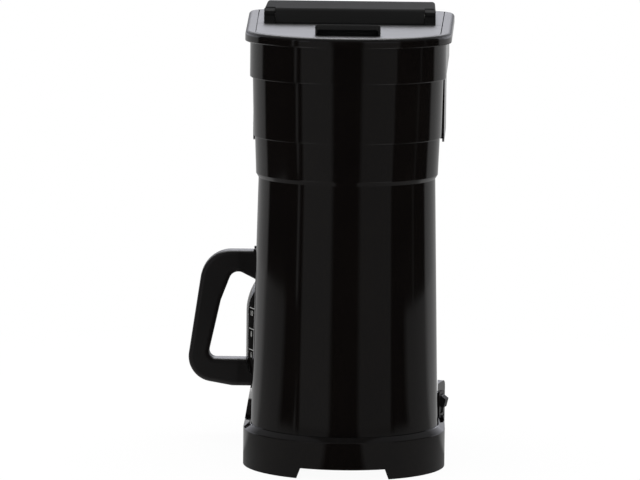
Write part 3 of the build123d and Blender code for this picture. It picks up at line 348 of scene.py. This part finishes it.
def place_camera():
    bpy.ops.object.camera_add()
    camera = bpy.context.object
    camera.name = "photo_camera"
    camera.data.lens = focal_pixels / image_width * camera.data.sensor_width
    turn = camera_yaw + camera_aim
    level = Vector((math.sin(turn), -math.cos(turn), 0))
    forward = level * math.cos(camera_pitch) - Vector((0, 0, math.sin(camera_pitch)))
    right = forward.cross(Vector((0, 0, 1))).normalized()
    up = right.cross(forward)
    rolled_right = right * math.cos(camera_roll) + up * math.sin(camera_roll)
    rolled_up = up * math.cos(camera_roll) - right * math.sin(camera_roll)
    place = Matrix((rolled_right, rolled_up, -forward)).transposed().to_4x4()
    place.translation = (
        -camera_distance * math.sin(camera_yaw),
        tower_y + camera_distance * math.cos(camera_yaw),
        camera_height,
    )
    camera.matrix_world = place
    bpy.context.scene.camera = camera


place_camera()


# Coffee in the carafe, drawn up from its floor by rings that reach a hair into the glass, so no air shows
glass_wall = 2.4 * mm
coffee_lap = 0.05 * mm
coffee_level = 145 * mm
belly_low = 30 * mm
belly_high = 68 * mm
foot_radius = 58 * mm
neck_radius = 52 * mm
neck_rise = 43.8 * mm
low_rings = 14
high_rings = 12


def pick_none():
    bpy.ops.object.select_all(action="DESELECT")


def finish_piece(piece, name, body, slot):
    """Name a new piece, lay its material on it, and let it ride on a body."""
    piece.name = name
    piece.data.materials.clear()
    piece.data.materials.append(materials[slot])
    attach(piece, body)


def coffee_ring(height):
    """Radius of the coffee at a height above the foot of the glass."""
    inset = glass_wall - coffee_lap
    if height < belly_low:
        rise = 1 - (height - inset) / (belly_low - inset)
        return foot_radius + (glass_radius - inset - foot_radius) * math.sqrt(max(0.0, 1 - rise**2))
    if height < belly_high:
        return glass_radius - inset
    inward = glass_radius - neck_radius
    shoulder = (inward**2 + neck_rise**2) / (2 * inward)
    return glass_radius - shoulder + math.sqrt((shoulder - inset)**2 - (height - belly_high)**2)


def pour_coffee():
    pick_none()
    foot_z = glass_low.z
    low = glass_wall - coffee_lap
    top = coffee_level - foot_z
    heights = [low + (belly_low - low) * (step + 1) / low_rings for step in range(low_rings)]
    heights.append(belly_high)
    heights += [belly_high + (top - belly_high) * (step + 1) / high_rings for step in range(high_rings)]
    centre = Vector((glass_middle.x, glass_middle.y, foot_z + low))
    radius = coffee_ring(low)
    bpy.ops.mesh.primitive_circle_add(vertices=128, radius=radius, fill_type="NGON", location=centre)
    coffee = bpy.context.object
    bpy.ops.object.transform_apply(location=True)
    bpy.ops.object.mode_set(mode="EDIT")
    bpy.ops.mesh.select_all(action="SELECT")
    reached = low
    for height in heights:
        wider = coffee_ring(height)
        bpy.ops.mesh.extrude_region_move(TRANSFORM_OT_translate={"value": (0, 0, height - reached)})
        bpy.ops.transform.resize(
            value=(wider / radius, wider / radius, 1), center_override=(centre.x, centre.y, foot_z + height)
        )
        reached = height
        radius = wider
    bpy.ops.mesh.select_all(action="SELECT")
    bpy.ops.mesh.normals_make_consistent(inside=False)
    bpy.ops.object.mode_set(mode="OBJECT")
    bpy.ops.object.shade_smooth_by_angle(angle=math.radians(30))
    finish_piece(coffee, "brewed_coffee", "carafe", "brewed_coffee")


pour_coffee()


# Level marks and plain cup numbers printed on the glass beside the handle
level_heights = {"10": 112 * mm, "8": 94 * mm, "6": 76 * mm}
mark_turn = math.radians(20.8)
mark_width = 12.9 * mm
mark_height = 0.6 * mm
number_height = 6.6 * mm
number_drop = 6.6 * mm
ink_lift = 0.06 * mm
ink_thickness = 0.1 * mm


def print_level(number, height):
    """One bar with its number under it, laid on the curve of the glass and given the thickness of ink."""
    pick_none()
    out = Vector((math.cos(mark_turn), math.sin(mark_turn), 0))
    spot = Vector((glass_middle.x, glass_middle.y, height)) + out * (glass_radius + 0.5 * mm)
    stand = (math.pi / 2, 0, mark_turn + math.pi / 2)
    bpy.ops.object.text_add(location=spot - Vector((0, 0, number_drop)), rotation=stand)
    text = bpy.context.object
    text.data.body = number
    text.data.size = number_height
    text.data.align_x = "CENTER"
    bpy.ops.object.convert(target="MESH")
    digits = bpy.context.object
    pick_none()
    bpy.ops.mesh.primitive_grid_add(
        x_subdivisions=16, y_subdivisions=1, size=1, location=spot, rotation=stand
    )
    mark = bpy.context.object
    mark.scale = (mark_width, mark_height, 1)
    digits.select_set(True)
    bpy.ops.object.join()
    bpy.ops.object.transform_apply(location=True, rotation=True, scale=True)
    wrap = mark.modifiers.new("wrap", "SHRINKWRAP")
    wrap.target = nodes["carafe_glass"]
    wrap.wrap_method = "NEAREST_SURFACEPOINT"
    wrap.wrap_mode = "ABOVE_SURFACE"
    wrap.offset = ink_lift
    thick = mark.modifiers.new("thick", "SOLIDIFY")
    thick.thickness = ink_thickness
    thick.offset = 1
    bpy.ops.object.modifier_apply(modifier="wrap")
    bpy.ops.object.modifier_apply(modifier="thick")
    finish_piece(mark, "level_" + number, "carafe", "white_ink")


for number, height in level_heights.items():
    print_level(number, height)


# Stage: a white floor that shiny surfaces mirror as painted glow, a dark card with a faint painted glow
# beside the glass, seen only in shiny surfaces, a studio that shiny surfaces mirror, and one soft lamp.
# Lights are shares of white, bearings are degrees from the machine's back, and lengths are in metres.
studio_dark = 0.012
floor_size = 12.0
# The floor's painted glow in shiny surfaces: where its table lies, how far it reaches, and its levels of
# painted light
table_middle = (0.09, 0, 0)
table_reach = 1.42
table_painted_glow = 0.17
front_painted_glow = 0.23
flag_gap = 7 * mm
flag_size = (40 * mm, 180 * mm)
# Strength of the card's faint painted glow
flag_painted_glow = 0.03
sweep_edge = 0.3
sweep_middle = 0.45
handle_panel = 0.18
switch_panel = 0.14
thin_strip = 0.24
faint_streak = 0.06
under_light = 0.7
overhead_light = 0.1
lamp_place = (0, -1.2, 2.4)
lamp_aim = (0, 0, 0.2)
lamp_size = (1.8, 1.2)
lamp_watts = 30


def bearing(tree, way):
    """Degrees of a direction from the machine's back, above nought on the side of the carafe's handle."""
    parts = add(tree, "ShaderNodeSeparateXYZ", {"Vector": way})
    turn = add(tree, "ShaderNodeMath", {0: parts.outputs["X"], 1: parts.outputs["Y"]}, operation="ARCTAN2")
    return add(tree, "ShaderNodeMath", {0: turn.outputs[0]}, operation="DEGREES").outputs[0]


def paper_seen(tree, path, reach):
    """White paper as the eye sees it: the faintest shadow near the machine, running out into plain white."""
    share = add(tree, "ShaderNodeMapRange", {
        "Value": reach, "From Min": 0.3, "From Max": 0.8, "To Min": 0.95, "To Max": 1.0,
    })
    direct = add(tree, "ShaderNodeMath", {0: 1.0, 1: path.outputs["Is Diffuse Ray"]}, operation="SUBTRACT")
    fade = add(tree, "ShaderNodeMath", {0: share.outputs[0], 1: direct.outputs[0]}, operation="MULTIPLY")
    paper = add(tree, "ShaderNodeBsdfDiffuse", {"Color": colour("#f4f4f4")})
    glow = add(tree, "ShaderNodeEmission", {"Color": colour("#ffffff"), "Strength": 1.0})
    seen = add(tree, "ShaderNodeMixShader", {0: fade.outputs[0], 1: paper.outputs[0], 2: glow.outputs[0]})
    return seen.outputs[0]


def painted_floor_reflection(tree, spot, reach):
    """The paper as shiny walls mirror it, all painted glow: a table in a dark room, with painted light near
    the base and to both sides, and dark between its edge and the panels."""
    turn = add(tree, "ShaderNodeMath", {0: bearing(tree, spot)}, operation="ABSOLUTE").outputs[0]
    beside = add(tree, "ShaderNodeMapRange", {"Value": turn, "From Min": 58, "From Max": 60})
    shifted = add(tree, "ShaderNodeVectorMath", {0: spot, 1: table_middle}, operation="SUBTRACT")
    across = add(tree, "ShaderNodeVectorMath", {0: shifted.outputs[0]}, operation="LENGTH")
    within = add(tree, "ShaderNodeMapRange", {
        "Value": across.outputs["Value"], "From Min": table_reach + 0.1, "From Max": table_reach,
    })
    sides = add(tree, "ShaderNodeMath", {0: beside.outputs[0], 1: within.outputs[0]}, operation="MULTIPLY")
    near = add(tree, "ShaderNodeMapRange", {"Value": reach, "From Min": 0.42, "From Max": 0.34})
    table = add(tree, "ShaderNodeMath", {0: sides.outputs[0], 1: near.outputs[0]}, operation="MAXIMUM")
    by_base = add(tree, "ShaderNodeMapRange", {
        "Value": turn, "From Min": 15, "From Max": 20, "To Min": studio_dark, "To Max": table_painted_glow,
    })
    by_sides = add(tree, "ShaderNodeMapRange", {
        "Value": turn, "From Min": 76, "From Max": 84, "To Min": studio_dark, "To Max": table_painted_glow,
    })
    around = add(tree, "ShaderNodeMix", {0: near.outputs[0], 2: by_sides.outputs[0], 3: by_base.outputs[0]})
    front = add(tree, "ShaderNodeMapRange", {
        "Value": turn, "From Min": 116, "From Max": 126, "To Max": front_painted_glow,
    })
    light = add(tree, "ShaderNodeMath", {0: around.outputs[0], 1: front.outputs[0]}, operation="ADD")
    # Painted glow: the floor gives out these levels as emission, and only shiny surfaces see it
    pale = add(tree, "ShaderNodeEmission", {"Color": colour("#ffffff"), "Strength": light.outputs[0]})
    clear = add(tree, "ShaderNodeBsdfTransparent")
    mirrored = add(tree, "ShaderNodeMixShader", {
        0: table.outputs[0], 1: clear.outputs[0], 2: pale.outputs[0],
    })
    return mirrored.outputs[0]


def white_paper():
    """Matt white paper under the machine, one way to the eye, and another in shiny surfaces, where it shows
    painted glow.
    """
    material, tree, shader, place = start_material("white_paper")
    path = add(tree, "ShaderNodeLightPath")
    spot = add(tree, "ShaderNodeVectorMath", {0: place, 1: (0, tower_y, 0)}, operation="SUBTRACT").outputs[0]
    reach = add(tree, "ShaderNodeVectorMath", {0: spot}, operation="LENGTH").outputs["Value"]
    look = add(tree, "ShaderNodeMixShader", {
        0: path.outputs["Is Glossy Ray"],
        1: paper_seen(tree, path, reach),
        2: painted_floor_reflection(tree, spot, reach),
    })
    tree.links.new(look.outputs[0], tree.nodes["Material Output"].inputs["Surface"])
    tree.nodes.remove(shader)
    return material


def lay_floor():
    pick_none()
    bpy.ops.mesh.primitive_plane_add(size=floor_size)
    floor = bpy.context.object
    floor.name = "floor"
    floor.data.materials.append(white_paper())


def painted_reflection_card():
    """Black card with a faint painted glow, seen as a painted dark reflection: it takes the shine off what
    faces it.
    """
    material, tree, shader, place = start_material("painted_reflection_card")
    shader.inputs["Base Color"].default_value = colour("#000000")
    shader.inputs["Specular IOR Level"].default_value = 0.0
    # Painted glow: a faint emission, though the card is no lamp
    shader.inputs["Emission Color"].default_value = colour("#ffffff")
    shader.inputs["Emission Strength"].default_value = flag_painted_glow
    return material


def stand_flag():
    """A dark card beside the back half of the carafe, seen only in shiny surfaces as a painted dark
    reflection with a faint painted glow. It keeps the glass dark but for a pale line along its outline."""
    pick_none()
    place = (
        glass_high.x + flag_gap,
        glass_middle.y + flag_size[0] / 2,
        glass_low.z + flag_size[1] / 2,
    )
    bpy.ops.mesh.primitive_plane_add(size=1.0, location=place, rotation=(math.pi / 2, 0, math.pi / 2))
    flag = bpy.context.object
    flag.name = "dark_flag"
    flag.scale = (*flag_size, 1)
    flag.visible_camera = False
    flag.visible_transmission = False
    flag.visible_diffuse = False
    flag.visible_shadow = False
    flag.data.materials.append(painted_reflection_card())


def lit(start, end, light, soft_start, soft_end):
    """Ramp stops of a lit panel between two bearings, with the degrees over which each end fades to dark."""
    return [(start - soft_start, studio_dark), (start, light), (end, light), (end + soft_end, studio_dark)]


def studio_ramp(tree, turn):
    """Light of the studio's walls by bearing: a pale sweep in front of the machine, a dim panel on each side
    of the camera, a narrow strip and a streak, and dark gaps between them."""
    share = add(tree, "ShaderNodeMapRange", {"Value": turn, "From Min": -180, "From Max": 180})
    ramp = add(tree, "ShaderNodeValToRGB", {"Fac": share.outputs["Result"]})
    stops = [
        (-175, sweep_middle), (-124, sweep_edge), (-120, studio_dark),
        *lit(-97, -95, faint_streak, 1, 1),
        *lit(-59, -20, switch_panel, 2, 5),
        *lit(20, 55.5, handle_panel, 5, 2),
        *lit(63, 64.5, thin_strip, 1.5, 1),
        (118, studio_dark), (122, sweep_edge), (175, sweep_middle),
    ]
    while len(ramp.color_ramp.elements) < len(stops):
        ramp.color_ramp.elements.new(1.0)
    for element, (degrees, light) in zip(ramp.color_ramp.elements, stops):
        element.position = (degrees + 180) / 360
        element.color = (light, light, light, 1)
    return ramp.outputs["Color"]


def studio_walls(tree, height, turn, either):
    """The walls as they are at eye level and below. Above it they are cooler and brighter, most of all
    straight in front of the machine, where its flat top mirrors them."""
    above = add(tree, "ShaderNodeMapRange", {"Value": height, "From Min": -0.02, "From Max": 0.05})
    beside = add(tree, "ShaderNodeMapRange", {
        "Value": height, "From Min": 0.25, "From Max": 0.5, "To Min": 2.0, "To Max": 0.2,
    })
    rise = add(tree, "ShaderNodeMapRange", {
        "Value": height, "From Min": 0.14, "From Max": 0.28, "To Min": 1.2, "To Max": 6.4,
    })
    fall = add(tree, "ShaderNodeMapRange", {"Value": height, "From Min": 0.85, "From Max": 0.6})
    front = add(tree, "ShaderNodeMath", {0: rise.outputs[0], 1: fall.outputs[0]}, operation="MULTIPLY")
    opposite = add(tree, "ShaderNodeMapRange", {"Value": either, "From Min": 162, "From Max": 172})
    upper = add(tree, "ShaderNodeMix", {0: opposite.outputs[0], 2: beside.outputs[0], 3: front.outputs[0]})
    level = add(tree, "ShaderNodeMix", {0: above.outputs[0], 2: 1.0, 3: upper.outputs[0]})
    cool = add(tree, "ShaderNodeMix", {
        "Factor": above.outputs[0], 6: studio_ramp(tree, turn), 7: colour("#f5f6ff"),
    }, data_type="RGBA", blend_type="MULTIPLY")
    walls = add(tree, "ShaderNodeBackground", {"Color": cool.outputs[2], "Strength": level.outputs[0]})
    return walls.outputs[0]


def studio_ends(tree, height, either):
    """A faint light overhead, and one from below that upright walls mirror in views from higher up."""
    overhead = add(tree, "ShaderNodeMapRange", {
        "Value": height, "From Min": 0.2, "From Max": 0.45, "To Max": overhead_light,
    })
    low = add(tree, "ShaderNodeMapRange", {
        "Value": height, "From Min": -0.21, "From Max": -0.3, "To Max": under_light,
    })
    aside = add(tree, "ShaderNodeMapRange", {"Value": either, "From Min": 15, "From Max": 66})
    under = add(tree, "ShaderNodeMath", {0: low.outputs[0], 1: aside.outputs[0]}, operation="MULTIPLY")
    both = add(tree, "ShaderNodeMath", {0: overhead.outputs[0], 1: under.outputs[0]}, operation="ADD")
    ends = add(tree, "ShaderNodeBackground", {"Color": colour("#ffffff"), "Strength": both.outputs[0]})
    return ends.outputs[0]


def set_world():
    """White to the eye and to matt surfaces. Shiny surfaces mirror the studio, and glass bends a little of
    the white into it."""
    world = bpy.data.worlds.new("studio")
    bpy.context.scene.world = world
    world.use_nodes = True
    tree = world.node_tree
    path = add(tree, "ShaderNodeLightPath")
    way = add(tree, "ShaderNodeTexCoord").outputs["Generated"]
    height = add(tree, "ShaderNodeSeparateXYZ", {"Vector": way}).outputs["Z"]
    turn = bearing(tree, way)
    either = add(tree, "ShaderNodeMath", {0: turn}, operation="ABSOLUTE").outputs[0]
    studio = add(tree, "ShaderNodeAddShader", {
        0: studio_walls(tree, height, turn, either), 1: studio_ends(tree, height, either),
    })
    white = add(tree, "ShaderNodeBackground", {"Color": colour("#ffffff"), "Strength": 1.0})
    bent = add(tree, "ShaderNodeMixShader", {0: 0.2, 1: studio.outputs[0], 2: white.outputs[0]})
    shiny = add(tree, "ShaderNodeMixShader", {
        0: path.outputs["Is Glossy Ray"], 1: white.outputs[0], 2: studio.outputs[0],
    })
    through = add(tree, "ShaderNodeMixShader", {
        0: path.outputs["Is Transmission Ray"], 1: shiny.outputs[0], 2: bent.outputs[0],
    })
    all_rays = add(tree, "ShaderNodeMixShader", {
        0: path.outputs["Is Camera Ray"], 1: through.outputs[0], 2: white.outputs[0],
    })
    tree.links.new(all_rays.outputs[0], tree.nodes["World Output"].inputs["Surface"])


def hang_lamp():
    bpy.ops.object.light_add(type="AREA", location=lamp_place)
    lamp = bpy.context.object
    lamp.name = "top_softbox"
    lamp.data.shape = "RECTANGLE"
    lamp.data.size, lamp.data.size_y = lamp_size
    lamp.data.energy = lamp_watts
    lamp.rotation_euler = (Vector(lamp_aim) - Vector(lamp_place)).to_track_quat("-Z", "Y").to_euler()


lay_floor()
stand_flag()
set_world()
hang_lamp()
bpy.context.scene.view_settings.view_transform = "Standard"
